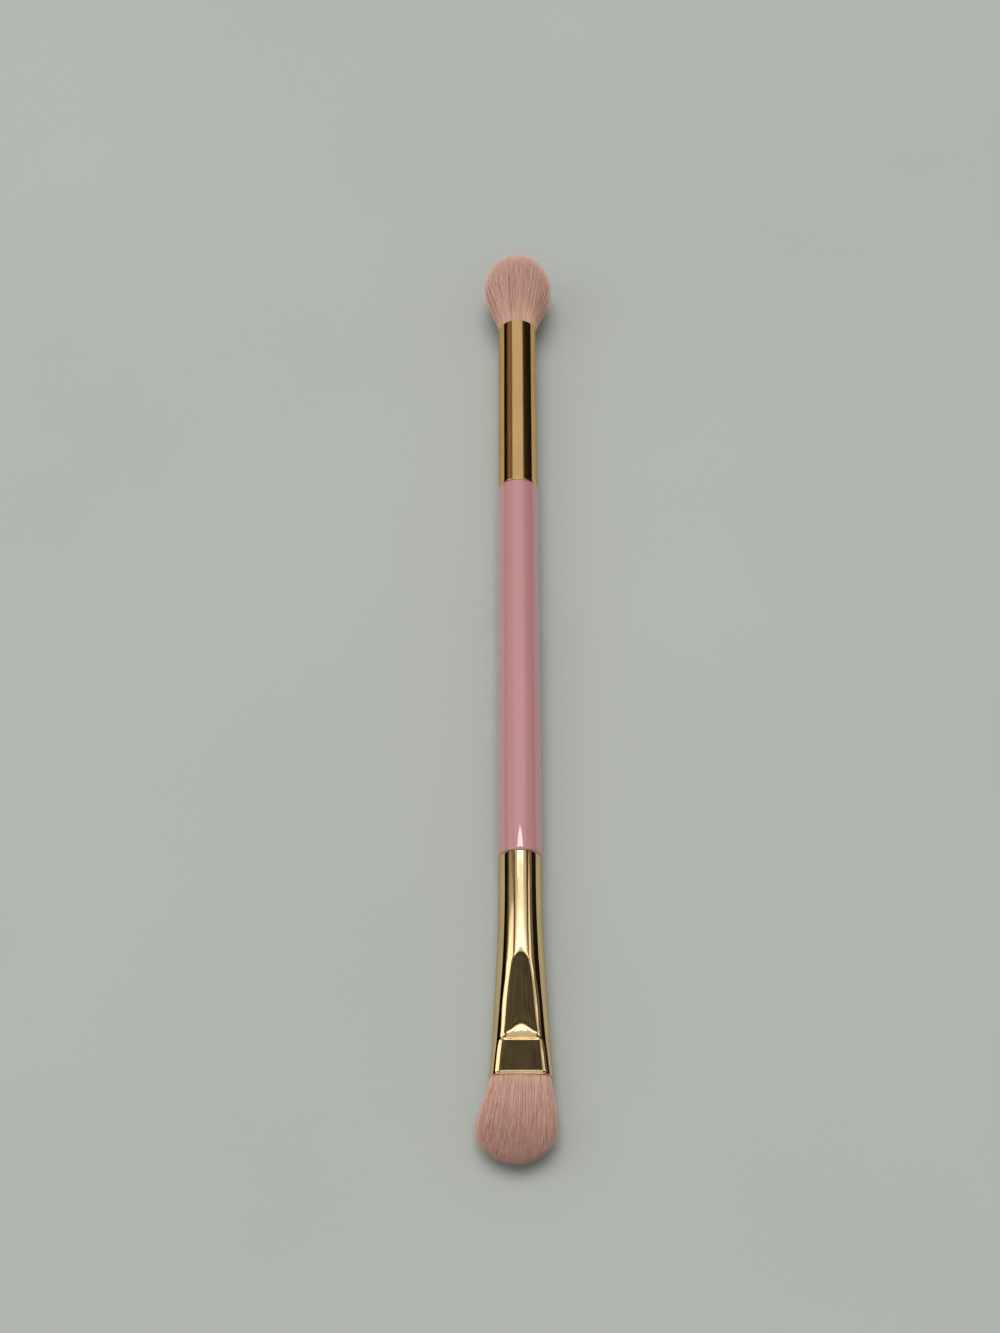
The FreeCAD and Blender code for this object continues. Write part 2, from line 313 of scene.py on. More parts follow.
def pressed_height(shape, reach):
    """Height of one pressed face at a distance from the mouth."""
    panel_foot = shape.mouth_thickness / 2 - shape.lip_rise
    panel = panel_foot + shape.panel_lean * reach / shape.panel_length
    panel += shape.lip_rise * smooth_step(max(1 - reach / shape.lip_length, 0.0))
    step, behind = behind_crease(shape, reach)
    left = max(1 - behind / shape.scoop_length, 0.0)
    slope = (SCOOP_START - SCOOP_FALL * left - SCOOP_DIP * left**SCOOP_DIP_POWER) * shape.round_radius
    slope += SCOOP_BLUNT * max(behind - shape.scoop_length, 0.0)
    return panel + (slope - panel) * step


def half_moon_height(shape, reach, across):
    """How far the half-moon stands out, at a distance from the mouth and from the middle."""
    step, behind = behind_crease(shape, reach)
    out = abs(2 * across / shape.swell_width)
    if out >= 1:
        return 0.0
    narrowing = hypot(out, HALF_MOON_ROUNDING) - HALF_MOON_ROUNDING
    crest = 1 - narrowing / (hypot(1.0, HALF_MOON_ROUNDING) - HALF_MOON_ROUNDING)
    climb = max(1 - behind / (shape.swell_depth * crest), 0.0)
    return shape.swell_height * climb**HALF_MOON_POWER * crest * step


def blank_halves(shape, reach):
    """Half width and half height of the flared tube before its faces are pressed."""
    panel, flare = shape.panel_length, shape.flare_length
    scoop = panel + shape.scoop_length
    seat = shape.round_radius
    widen = max((flare - reach) / (flare - scoop), 0.0) ** 2
    half_width = seat + (shape.scoop_width / 2 - seat) * widen
    if reach < scoop:
        widths = ((0.0, shape.mouth_width), (panel, shape.crease_width), (scoop, shape.scoop_width))
        half_width = between(reach, widths) / 2
    sink = max((scoop - reach) / shape.scoop_length, 0.0) ** OVAL_SINK_POWER
    half_height = seat + (shape.crease_thickness / 2 - seat) * sink
    if reach < panel:
        half_height = between(reach, ((0.0, shape.blank_thickness), (panel, shape.crease_thickness))) / 2
    return half_width, half_height


def pressed_point(shape, side, top, reach, inset):
    """Where a point of the unit ring ends up on the pressed tube, from the mouth inwards."""
    half_width, half_height = blank_halves(shape, reach)
    across = side * (half_width - inset)
    height = abs(top) * (half_height - inset)
    limit = pressed_height(shape, reach) - inset
    rounding = shape.ridge_rounding * eased(reach, RIDGE_SOFTNESS)
    height = max(soft_lower(height, limit, rounding), 0.0)
    height += half_moon_height(shape, reach, across)
    return Vector((across, SHADER_MOUTH + reach, AXIS_HEIGHT + (height if top >= 0 else -height)))


def ferrule_stations(shape):
    """(distance from the mouth, inset) of each ring: along the outside, round the lip and back inside."""
    length = SHADER_RIM - SHADER_MOUTH
    wall = shape.wall
    crease = shape.panel_length
    slope = crease + shape.scoop_length
    stretches = {
        "round tube": (length - wall / 2 - SUPPORT, slope + 1.5 * MM, 16),
        "pressed slope": (slope + 1.3 * MM, crease + 3 * MM, 48),
        "half-moon and crease": (crease + 2.92 * MM, crease - 0.4 * MM, 56),
        "panel": (crease - 0.6 * MM, 0.7 * MM, 16),
        "lip": (0.62 * MM, wall / 2, 8),
    }
    outside = [length - wall / 2]
    for start, end, rings in stretches.values():
        outside += list(np.linspace(start, end, rings))
    stations = [(reach, 0.0) for reach in outside]
    for step in range(1, LIP_STEPS):
        turn = pi * step / LIP_STEPS
        stations.append((wall / 2 * (1 - sin(turn)), wall / 2 * (1 - cos(turn))))
    stations += [(reach, wall) for reach in reversed(outside[::2])]
    for step in range(1, LIP_STEPS):
        turn = pi * step / LIP_STEPS
        stations.append((length - wall / 2 * (1 - sin(turn)), wall / 2 * (1 + cos(turn))))
    return stations


def pressed_ferrule_mesh(shape):
    """The flat ferrule as one closed sheet: a ring drawn along the tube, then pressed to shape."""
    stations = ferrule_stations(shape)
    work = bmesh.new()
    stand_up = Matrix.Rotation(pi / 2, 4, "X")
    bmesh.ops.create_circle(work, segments=FERRULE_SIDES, radius=1.0, matrix=stand_up)
    first = list(work.edges)
    edges = first
    for _ in stations[1:]:
        drawn = bmesh.ops.extrude_edge_only(work, edges=edges)["geom"]
        edges = [part for part in drawn if isinstance(part, bmesh.types.BMEdge)]
        moved = [part for part in drawn if isinstance(part, bmesh.types.BMVert)]
        bmesh.ops.translate(work, verts=moved, vec=(0.0, 1.0, 0.0))
    bmesh.ops.bridge_loops(work, edges=first + edges)
    for point in work.verts:
        reach, inset = stations[round(point.co.y)]
        point.co = pressed_point(shape, point.co.x, point.co.z, reach, inset)
    bmesh.ops.recalc_face_normals(work, faces=work.faces)
    mesh = bpy.data.meshes.new("pressed_ferrule")
    work.to_mesh(mesh)
    work.free()
    mesh.shade_smooth()
    return mesh


def round_ferrule_profile(shape):
    """Closed outline of the straight ferrule's wall, with a rounded lip at each end."""
    low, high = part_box("blending_ferrule")
    lip = shape.wall / 2
    middle = (high.x - low.x) / 2 - lip
    mouth = quarter(middle, high.y - lip, lip, 0.0, pi)
    rim = quarter(middle, low.y + lip, lip, pi, pi)
    start, end = low.y + lip + SUPPORT, high.y - lip - SUPPORT
    inside = [(middle - lip, end), (middle - lip, start)]
    outside = [(middle + lip, start), (middle + lip, end)]
    return mouth + inside + rim + outside + mouth[:1]


def spun(name, profile):
    """A smooth closed mesh spun round the brush's axis from a profile of (radius, place along) corners."""
    work = bmesh.new()
    points = [work.verts.new((radius, along, AXIS_HEIGHT)) for radius, along in profile]
    edges = [work.edges.new(pair) for pair in zip(points, points[1:])]
    long_edges = [edge for edge in edges if edge.calc_length() > LONG_EDGE]
    bmesh.ops.subdivide_edges(work, edges=long_edges, cuts=LONG_EDGE_CUTS)
    bmesh.ops.spin(
        work,
        geom=work.verts[:] + work.edges[:],
        cent=(0.0, 0.0, AXIS_HEIGHT),
        axis=(0.0, 1.0, 0.0),
        angle=2 * pi,
        steps=FERRULE_SIDES,
        use_merge=True,
    )
    bmesh.ops.remove_doubles(work, verts=work.verts, dist=SAME_PLACE)
    bmesh.ops.recalc_face_normals(work, faces=work.faces)
    mesh = bpy.data.meshes.new(name)
    work.to_mesh(mesh)
    work.free()
    mesh.shade_smooth()
    mesh.set_sharp_from_angle(angle=SHARP_CORNER)
    return mesh


def quarter(radius, along, rounding, start, turn):
    """Profile points of a rounded corner about a middle, from one angle through another."""
    angles = np.linspace(start, start + turn, LIP_STEPS + 1)
    return [(radius + rounding * cos(angle), along + rounding * sin(angle)) for angle in angles]


def handle_profile(shape):
    """Half outline of the handle: a chamfered tenon, a rounded shoulder, the barrel and the same again."""
    low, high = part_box("handle")
    barrel = (high.x - low.x) / 2
    edge, chamfer = shape.edge_rounding, shape.tenon_chamfer
    tenon, reach = shape.tenon_radius, shape.tenon_length
    foot = [(0.0, low.y), (tenon - chamfer, low.y), (tenon, low.y + chamfer), (tenon, low.y + reach)]
    near = quarter(barrel - edge, low.y + reach + edge, edge, -pi / 2, pi / 2)
    far = quarter(barrel - edge, high.y - reach - edge, edge, 0.0, pi / 2)
    head = [(tenon, high.y - reach), (tenon, high.y - chamfer), (tenon - chamfer, high.y), (0.0, high.y)]
    barrel_ends = [(barrel, low.y + reach + edge + SUPPORT), (barrel, high.y - reach - edge - SUPPORT)]
    return foot + near + barrel_ends + far + head


def floor_height(along):
    """Height of the floor under a place along the brush."""
    (far, far_height), (near, near_height) = FLOOR_TOUCH
    return far_height + (near_height - far_height) * (far - along) / (far - near)


def filament_shares(shape, draw):
    """Where each filament sits in the bundle, from -1 to 1 each way, and the lock that it belongs to."""
    count = shape.filament_count
    order = np.arange(count) + 0.5
    out = np.sqrt(order / count)
    turn = order * GOLDEN_ANGLE
    side, top = np.cos(turn), np.sin(turn)
    power = shape.corner_power
    corners = (np.abs(side) ** power + np.abs(top) ** power) ** (-1 / power)
    shares = np.column_stack((out * corners * side, out * corners * top))
    shares += draw.normal(0.0, ROOT_UNEVENNESS, shares.shape)
    locks = shares[draw.choice(count, shape.lock_count, replace=False)]
    gaps = np.linalg.norm(shares[:, None, :] - locks[None, :, :], axis=2)
    nearest = gaps.argmin(axis=1)
    return out, shares, locks[nearest], nearest


def filament_paths(shape, length, draw):
    """Points of every filament from inside the ferrule to its tip, from the mouth's middle, and its shade."""
    out, shares, locks, nearest = filament_shares(shape, draw)
    count = len(out)
    belly_at = shape.belly_share * length
    fall = np.linspace(0.0, 1.0, DOME_STEPS)
    dome = np.sqrt(1 - fall**DOME_POWER) / (1 - shape.gather * fall**2)
    tip_fall = np.interp(out, dome[::-1], fall[::-1])
    reach = belly_at + tip_fall * (length - belly_at)
    scatter = CORE_SCATTER + (1 - CORE_SCATTER) * out
    reach -= shape.tip_scatter * np.abs(draw.normal(0.0, 1.0, count)) * scatter
    steps = np.linspace(0.0, 1.0, FILAMENT_POINTS) ** POINT_SPACING
    bend, late = steps[None, :] ** STRAY_BEND, steps[None, :] ** 2
    along = -ROOT_DEPTH + (reach + ROOT_DEPTH)[:, None] * steps[None, :]
    open_up = np.sin(pi / 2 * np.clip(along / belly_at, 0.0, 1.0))
    past = np.clip((along - belly_at) / (length - belly_at), 0.0, 1.0)
    draw_in = 1 - shape.gather * past**2
    stray = shape.stray_splay * out**2 * draw.random(count) ** shape.stray_rarity
    loose = stray[:, None] * bend
    pull = shape.lock_pull * late
    path = np.empty((count, FILAMENT_POINTS, 3))
    sizes = (
        (ACROSS, shape.root_width / 2, shape.belly_width / 2),
        (UP, shape.root_thickness / 2, shape.belly_thickness / 2),
    )
    for column, (place, root, belly) in enumerate(sizes):
        half = (root + (belly - root) * open_up) * draw_in * (1 + loose)
        share = shares[:, column][:, None] + pull * (locks - shares)[:, column][:, None]
        waver = draw.normal(0.0, shape.waver, count)[:, None] * late
        path[:, :, place] = share * half + waver
    path[:, :, ACROSS] += shape.lean * bend
    path[:, :, ALONG] = along
    lock_shade = draw.random(shape.lock_count)[nearest]
    shade = LOCK_SHADE * lock_shade + (1 - LOCK_SHADE) * draw.random(count)
    return path, shade


def filament_mesh(name, paths, shades, diameter):
    """One mesh of thin tapered filaments along the paths, each with its shade."""
    curve = bpy.data.curves.new(name, "CURVE")
    curve.dimensions = "3D"
    curve.bevel_depth = diameter / 2
    curve.bevel_resolution = 0
    curve.use_fill_caps = True
    places, radii = zip(*FILAMENT_TAPER)
    taper = np.interp(np.linspace(0.0, 1.0, FILAMENT_POINTS), places, radii)
    for path in paths:
        filament = curve.splines.new("POLY")
        filament.points.add(FILAMENT_POINTS - 1)
        filament.points.foreach_set("co", np.column_stack((path, np.ones(FILAMENT_POINTS))).ravel())
        filament.points.foreach_set("radius", taper)
    holder = bpy.data.objects.new(name, curve)
    bpy.context.scene.collection.objects.link(holder)
    view = bpy.context.evaluated_depsgraph_get()
    mesh = bpy.data.meshes.new_from_object(holder.evaluated_get(view))
    bpy.data.objects.remove(holder)
    bpy.data.curves.remove(curve)
    each, odd = divmod(len(mesh.vertices), len(paths))
    if odd:
        raise RuntimeError(f"{name}: the filaments have different numbers of points")
    shade = mesh.attributes.new("filament_shade", "FLOAT", "POINT")
    shade.data.foreach_set("value", np.repeat(shades, each).astype(np.float32))
    mesh.shade_smooth()
    return mesh


def tuft(name, shape, mouth, tip, nodes, material):
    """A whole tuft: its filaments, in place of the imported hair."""
    draw = np.random.default_rng(FILAMENT_SEED + len(name))
    length = abs(tip - mouth)
    outward = 1.0 if tip > mouth else -1.0
    paths, shades = filament_paths(shape, length, draw)
    paths[:, :, ALONG] = mouth + outward * paths[:, :, ALONG]
    paths[:, :, UP] += AXIS_HEIGHT
    rest = floor_height(paths[:, :, ALONG]) + REST_SPREAD * draw.random(len(paths))[:, None]
    paths[:, :, UP] = np.maximum(paths[:, :, UP], rest)
    half = len(paths) // 2
    for layer, part in (("inner", slice(None, half)), ("outer", slice(half, None))):
        mesh = filament_mesh(f"{name}_{layer}", paths[part], shades[part], shape.filament_diameter)
        piece = mesh_piece(f"{name}_{layer}", mesh, material)
        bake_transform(piece)
        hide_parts(*nodes)


def length_value(name, description, size):
    """A size in metres that the sidebar shows as a length."""
    return FloatProperty(name=name, description=description, default=size, unit="LENGTH", precision=5)


def share_value(name, description, share):
    """A plain share of another size."""
    return FloatProperty(
        name=name, description=description, default=share, subtype="FACTOR", min=0.0, max=1.0
    )


def plain_value(name, description, value):
    """A plain number."""
    return FloatProperty(name=name, description=description, default=value)


def count_value(name, description, count):
    """A whole number of things."""
    return IntProperty(name=name, description=description, default=count, min=10)


def angle_value(name, description, degrees):
    """An angle that the sidebar shows in degrees."""
    return FloatProperty(name=name, description=description, default=radians(degrees), subtype="ANGLE")


def colour_value(name, description, colour):
    """A surface colour in scene-linear light."""
    return FloatVectorProperty(
        name=name, description=description, default=colour, subtype="COLOR", size=3, min=0.0, max=1.0
    )


class BrushColours(PropertyGroup):
    """Colours of the brush's finishes."""

    lacquer: colour_value("Lacquer", "Pink of the handle", (0.52, 0.234, 0.237))
    gold: colour_value("Gold", "Plating of the round ferrule", (0.93, 0.61, 0.26))
    pale_gold: colour_value("Pale gold", "Plating of the flat ferrule", (0.92, 0.69, 0.38))
    blending_hair: colour_value("Blending hair", "Filaments of the round tuft", (0.85, 0.53, 0.41))
    shader_hair: colour_value("Shader hair", "Filaments of the flat tuft", (0.79, 0.48, 0.37))
    glue: colour_value("Glue", "Glue inside the ferrules", (0.5, 0.33, 0.14))


class HandleShape(PropertyGroup):
    """Sizes of the handle that its box doesn't give."""

    edge_rounding: length_value("Edge rounding", "Radius of the barrel's rounded ends", 0.4 * MM)
    tenon_radius: length_value("Tenon radius", "Radius of the tenons inside the ferrules", 2.98 * MM)
    tenon_length: length_value("Tenon length", "Length of each tenon", 11.0 * MM)
    tenon_chamfer: length_value("Tenon chamfer", "Chamfer at the end of each tenon", 0.5 * MM)


class PressedFerruleShape(PropertyGroup):
    """Sizes of the flat ferrule."""

    wall: length_value("Wall", "Thickness of the sheet", 0.35 * MM)
    round_radius: length_value("Round radius", "Radius of the tube before pressing", 3.45 * MM)
    mouth_width: length_value("Mouth width", "Width at the mouth", 9.6 * MM)
    mouth_thickness: length_value("Mouth thickness", "Thickness between the two panels", 3.9 * MM)
    blank_thickness: length_value("Blank thickness", "Thickness of the oval before pressing", 4.9 * MM)
    panel_length: length_value("Panel length", "From the mouth to the crease", 5.3 * MM)
    crease_width: length_value("Crease width", "Width at the crease", 8.75 * MM)
    crease_thickness: length_value("Crease thickness", "Thickness of the oval at the crease", 5.5 * MM)
    scoop_width: length_value("Scoop width", "Width where the pressed slope starts", 7.6 * MM)
    flare_length: length_value("Flare length", "From the mouth to where the tube is round", 31.0 * MM)
    scoop_length: length_value("Scoop length", "From the crease to where the pressing starts", 12.1 * MM)
    panel_lean: length_value("Panel lean", "Rise of the panel from mouth to crease", 0.3 * MM)
    lip_length: length_value("Lip length", "Length of the flared lip", 0.55 * MM)
    lip_rise: length_value("Lip rise", "Rise of the flared lip", 0.18 * MM)
    swell_height: length_value("Swell height", "Height of the half-moon behind the crease", 0.545 * MM)
    swell_depth: length_value("Swell depth", "Reach of the half-moon behind the crease", 2.9 * MM)
    swell_width: length_value("Swell width", "Width of the half-moon along the crease", 7.0 * MM)
    ridge_rounding: length_value("Ridge rounding", "Softness of the ridges beside the faces", 0.7 * MM)
    crease_rounding: length_value("Crease rounding", "Length of the drop at the crease", 0.3 * MM)


class BlendingTuftShape(PropertyGroup):
    """Sizes of the round tuft."""

    filament_count: count_value("Filaments", "Filaments in the tuft", 8800)
    lock_count: count_value("Locks", "Small locks that the tips gather into", 420)
    filament_diameter: length_value("Filament diameter", "Thickness of one filament", 0.062 * MM)
    root_width: length_value("Root width", "Width of the bundle in the mouth", 6.0 * MM)
    root_thickness: length_value("Root thickness", "Thickness of the bundle in the mouth", 6.0 * MM)
    belly_width: length_value("Belly width", "Greatest width", 10.4 * MM)
    belly_thickness: length_value("Belly thickness", "Greatest thickness", 10.4 * MM)
    belly_share: share_value("Belly place", "Share of the length at which the tuft is widest", 0.58)
    gather: share_value("Gather", "How much the filaments lean inwards past the belly", 0.22)
    corner_power: plain_value("Corner power", "Two is round, more fills the corners", 2.0)
    lock_pull: share_value("Lock pull", "How far the tips of a lock draw together", 0.16)
    tip_scatter: length_value("Tip scatter", "Unevenness of the tips", 0.9 * MM)
    waver: length_value("Waver", "Sideways wander of the tips", 0.16 * MM)
    lean: length_value("Lean", "Sideways lean of the whole tuft at its tip", 0.1 * MM)
    stray_splay: share_value("Stray splay", "How far the loosest filaments stand out", 0.32)
    stray_rarity: plain_value("Stray rarity", "Higher values leave fewer strays", 1.15)


class ShaderTuftShape(PropertyGroup):
    """Sizes of the flat tuft."""

    filament_count: count_value("Filaments", "Filaments in the tuft", 8800)
    lock_count: count_value("Locks", "Small locks that the tips gather into", 380)
    filament_diameter: length_value("Filament diameter", "Thickness of one filament", 0.058 * MM)
    root_width: length_value("Root width", "Width of the bundle in the mouth", 8.7 * MM)
    root_thickness: length_value("Root thickness", "Thickness of the bundle in the mouth", 2.9 * MM)
    belly_width: length_value("Belly width", "Greatest width", 10.1 * MM)
    belly_thickness: length_value("Belly thickness", "Greatest thickness", 5.6 * MM)
    belly_share: share_value("Belly place", "Share of the length at which the tuft is widest", 0.62)
    gather: share_value("Gather", "How much the filaments lean inwards past the belly", 0.16)
    corner_power: plain_value("Corner power", "Two is oval, more fills the corners", 2.6)
    lock_pull: share_value("Lock pull", "How far the tips of a lock draw together", 0.16)
    tip_scatter: length_value("Tip scatter", "Unevenness of the tips", 0.9 * MM)
    waver: length_value("Waver", "Sideways wander of the tips", 0.14 * MM)
    lean: length_value("Lean", "Sideways lean of the whole tuft at its tip", -0.85 * MM)
    stray_splay: share_value("Stray splay", "How far the loosest filaments stand out", 0.32)
    stray_rarity: plain_value("Stray rarity", "Higher values leave fewer strays", 1.15)


class BrushStage(PropertyGroup):
    """Floor, light and camera."""

    floor: colour_value("Floor", "Pale grey-green of the floor", (0.44, 0.46, 0.43))
    room_light: plain_value("Room light", "Even light from all round", 0.42)
    room_shine: plain_value("Room shine", "Brightness of the room in shiny surfaces", 0.55)
    key_light: plain_value("Key light", "Strength of the soft light from overhead", 1.66)
    key_softness: angle_value("Key softness", "Angle that the overhead light fills", 40.0)
    key_direction: FloatVectorProperty(
        name="Key direction",
        description="Where the overhead light comes from",
        default=(-0.08, 0.32, 1.0),
        subtype="XYZ",
    )
    tube_height: length_value("Tube height", "Height of the ceiling tubes", 1.0)
    lens: plain_value("Lens", "Focal length of the camera, in millimetres", 54.0)
    camera_place: FloatVectorProperty(
        name="Camera",
        description="Place of the camera",
        default=(-0.0032, -0.1718, 0.2957),
        subtype="XYZ",
        unit="LENGTH",
    )
    camera_dip: angle_value("Camera dip", "How far the camera looks below level", 59.71)


class BRUSH_OT_handle(Operator):
    """Turns the handle and lacquers it"""

    bl_idname = "eyeshadow_brush.handle"
    bl_label = "Handle"

    def execute(self, context):
        lacquer = lacquer_finish(context.scene.brush_colours.lacquer)
        mesh = spun("turned_handle", handle_profile(context.scene.brush_handle))
        piece = mesh_piece("lacquered_handle", mesh, lacquer)
        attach(piece, "brush_body")
        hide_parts("handle")
        return {"FINISHED"}


class BRUSH_OT_round_ferrule(Operator):
    """Spins the round ferrule and plates it"""

    bl_idname = "eyeshadow_brush.round_ferrule"
    bl_label = "Round ferrule"

    def execute(self, context):
        gold = gold_finish("round_ferrule_gold", context.scene.brush_colours.gold, *ROUND_POLISH)
        mesh = spun("round_ferrule", round_ferrule_profile(context.scene.brush_pressed_ferrule))
        piece = mesh_piece("round_blending_ferrule", mesh, gold)
        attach(piece, "brush_body")
        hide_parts("blending_ferrule")
        return {"FINISHED"}


class BRUSH_OT_flat_ferrule(Operator):
    """Presses the flat ferrule and plates it"""

    bl_idname = "eyeshadow_brush.flat_ferrule"
    bl_label = "Flat ferrule"

    def execute(self, context):
        gold = gold_finish("flat_ferrule_gold", context.scene.brush_colours.pale_gold, *FLAT_POLISH)
        mesh = pressed_ferrule_mesh(context.scene.brush_pressed_ferrule)
        piece = mesh_piece("pressed_shader_ferrule", mesh, gold)
        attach(piece, "brush_body")
        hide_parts("shader_ferrule")
        return {"FINISHED"}


class BRUSH_OT_blending_tuft(Operator):
    """Fills the round ferrule with the blending tuft"""

    bl_idname = "eyeshadow_brush.blending_tuft"
    bl_label = "Blending tuft"

    def execute(self, context):
        scene = context.scene
        tuft(
            "blending_filaments",
            scene.brush_blending_tuft,
            BLENDING_MOUTH,
            BLENDING_TIP,
            ("blending_hair_base", "blending_hair_head"),
            hair_finish("blending_filament", scene.brush_colours.blending_hair, *BLENDING_SHADES),
        )
        return {"FINISHED"}


class BRUSH_OT_shader_tuft(Operator):
    """Fills the flat ferrule with the shader tuft"""

    bl_idname = "eyeshadow_brush.shader_tuft"
    bl_label = "Shader tuft"

    def execute(self, context):
        scene = context.scene
        tuft(
            "shader_filaments",
            scene.brush_shader_tuft,
            SHADER_MOUTH,
            SHADER_TIP,
            ("shader_hair_base", "shader_hair_head"),
            hair_finish("shader_filament", scene.brush_colours.shader_hair, *SHADER_SHADES),
        )
        return {"FINISHED"}


class BRUSH_OT_glue(Operator):
    """Colours the glue inside the ferrules"""

    bl_idname = "eyeshadow_brush.glue"
    bl_label = "Glue"

    def execute(self, context):
        colour = context.scene.brush_colours.glue
        for end in ("blending", "shader"):
            paint_node(f"{end}_tenon_glue", glue_finish(f"{end}_tenon_film", colour))
            paint_node(f"{end}_hair_glue", glue_finish(f"{end}_hair_cup", colour))
        return {"FINISHED"}


# Edges of the ceiling tubes along the brush, their length across it, and how bright each shines
CEILING_TUBES = {
    "ceiling_tube_far": (0.4275, 0.4436, 0.5, 6.0),
    "ceiling_tube_near": (0.34, 0.38, 1.2, 1.8),
    "ceiling_tube_glow": (0.38, 0.412, 1.2, 0.4),
}

# Cards that only the shiny surfaces see, painted reflections of a mostly dark room: middle, size, turn, and the
# painted tones at foot and top
FACING_RIGHT = (pi / 2, 0.0, pi / 2)
FACING_LEFT = (pi / 2, 0.0, -pi / 2)
LEVEL = (0.0, 0.0, 0.0)
SHADE_BLOTCHES = 0.3
SHADE_CARDS = {
    "left_foot": ((-0.46, 0.6, 0.08), (1.4, 0.16), FACING_RIGHT, (0.004, 0.002, 0.001), (0.02, 0.008, 0.004)),
    "left": ((-0.46, 0.6, 0.23), (1.4, 0.14), FACING_RIGHT, (0.06, 0.035, 0.02), (0.38, 0.27, 0.17)),
    "left_upper": ((-0.46, -0.25, 0.51), (2.1, 0.42), FACING_RIGHT, (0.5, 0.37, 0.24), (0.25, 0.19, 0.14)),
    "left_top": ((-0.46, 0.2, 0.83), (0.44, 0.22), FACING_RIGHT, (0.25, 0.19, 0.14), (0.16, 0.12, 0.09)),
    "left_back": ((-0.46, -0.7, 0.15), (1.2, 0.3), FACING_RIGHT, (0.12, 0.085, 0.055), (0.38, 0.27, 0.17)),
    "right_back": ((0.46, -0.7, 0.25), (1.2, 0.5), FACING_LEFT, (0.12, 0.085, 0.055), (0.2, 0.15, 0.1)),
    "right": ((0.46, 0.6, 0.25), (1.4, 0.5), FACING_LEFT, (0.012, 0.007, 0.004), (0.05, 0.04, 0.03)),
    "right_upper": ((0.46, 0.71, 0.64), (0.98, 0.28), FACING_LEFT, (0.08, 0.06, 0.05), (0.2, 0.17, 0.13)),
    "left_strip": ((-0.455, 0.25, 0.34), (0.24, 0.16), FACING_RIGHT, (0.7, 0.6, 0.46), (0.7, 0.6, 0.46)),
    "right_strip": ((0.452, 0.05, 0.31), (0.5, 0.12), FACING_LEFT, (0.3, 0.25, 0.2), (0.3, 0.25, 0.2)),
    "above": ((0.0, -0.04, 0.62), (0.6, 0.4), LEVEL, (0.36, 0.33, 0.28), (0.08, 0.07, 0.06)),
}

# Pale windows: middle, size, turn, how bright each shines, and whether it lights matt surfaces too
LEFT_TURN = Matrix.Rotation(radians(-18.0), 3, "X") @ Matrix.Rotation(-pi / 2, 3, "Y")
RIGHT_TURN = Matrix.Rotation(pi / 2, 3, "Y")
NEAR_TURN = Matrix.Rotation(pi / 2, 3, "X")
WINDOWS = {
    "left_window": ((-0.45, 0.06, 0.48), (0.46, 0.34), LEFT_TURN, 1.2, True),
    "right_window": ((0.44, 0.19, 0.51), (0.22, 0.11), RIGHT_TURN, 1.0, False),
    "near_window": ((0.0, -0.75, 0.35), (0.6, 0.5), NEAR_TURN, 1.3, False),
}


def flat_card(name, size, place, turn, material):
    """A flat sheet of the stage, with its size in its mesh."""
    work = bmesh.new()
    scale = Matrix.Diagonal((size[0] / 2, size[1] / 2, 1.0, 1.0))
    bmesh.ops.create_grid(work, x_segments=1, y_segments=1, size=1.0, matrix=scale)
    mesh = bpy.data.meshes.new(name)
    work.to_mesh(mesh)
    work.free()
    mesh.materials.append(material)
    card = bpy.data.objects.new(name, mesh)
    card.location = place
    card.rotation_euler = turn
    bpy.context.scene.collection.objects.link(card)
    return card


def floor_finish(colour):
    """Matt pale board with a faint mottle and fine grain."""
    material, tree, shader = new_material("pale_board")
    mottle = spread(tree, grain(tree, 9.0, detail=4.0), 0.0, 1.0)
    tone = two_tones(tree, mottle, toned(colour, 0.97), toned(colour, 1.02))
    tree.links.new(tone, shader.inputs["Base Color"])
    shader.inputs["Roughness"].default_value = 0.85
    shader.inputs["Specular IOR Level"].default_value = 0.2
    relief(tree, shader, (grain(tree, 900.0, detail=3.0), 15.0 * MICRON))
    return material


def shade_finish(name, height, foot, top):
    """Dull board for painted reflections, with soft blotches and a painted tone that changes towards its top
    edge.
    """
    material, tree, shader = new_material(name)
    rise = tree.nodes.new("ShaderNodeMath")
    tree.links.new(rise_along(tree, -height / 2, height / 2), rise.inputs[0])
    blotches = spread(tree, grain(tree, 40.0, detail=1.0), -SHADE_BLOTCHES, SHADE_BLOTCHES)
    tree.links.new(blotches, rise.inputs[1])
    tree.links.new(two_tones(tree, rise.outputs["Value"], foot, top), shader.inputs["Base Color"])
    shader.inputs["Roughness"].default_value = 0.9
    shader.inputs["Specular IOR Level"].default_value = 0.0
    return material


def area_lamp(name, place, size, shine):
    """A rectangular lamp as bright as a surface of that strength; it faces down until it is turned."""
    light = bpy.data.lights.new(name, "AREA")
    light.shape = "RECTANGLE"
    light.size, light.size_y = size
    light.energy = shine * pi * size[0] * size[1]
    lamp = bpy.data.objects.new(name, light)
    lamp.location = place
    lamp.visible_camera = False
    bpy.context.scene.collection.objects.link(lamp)
    return lamp


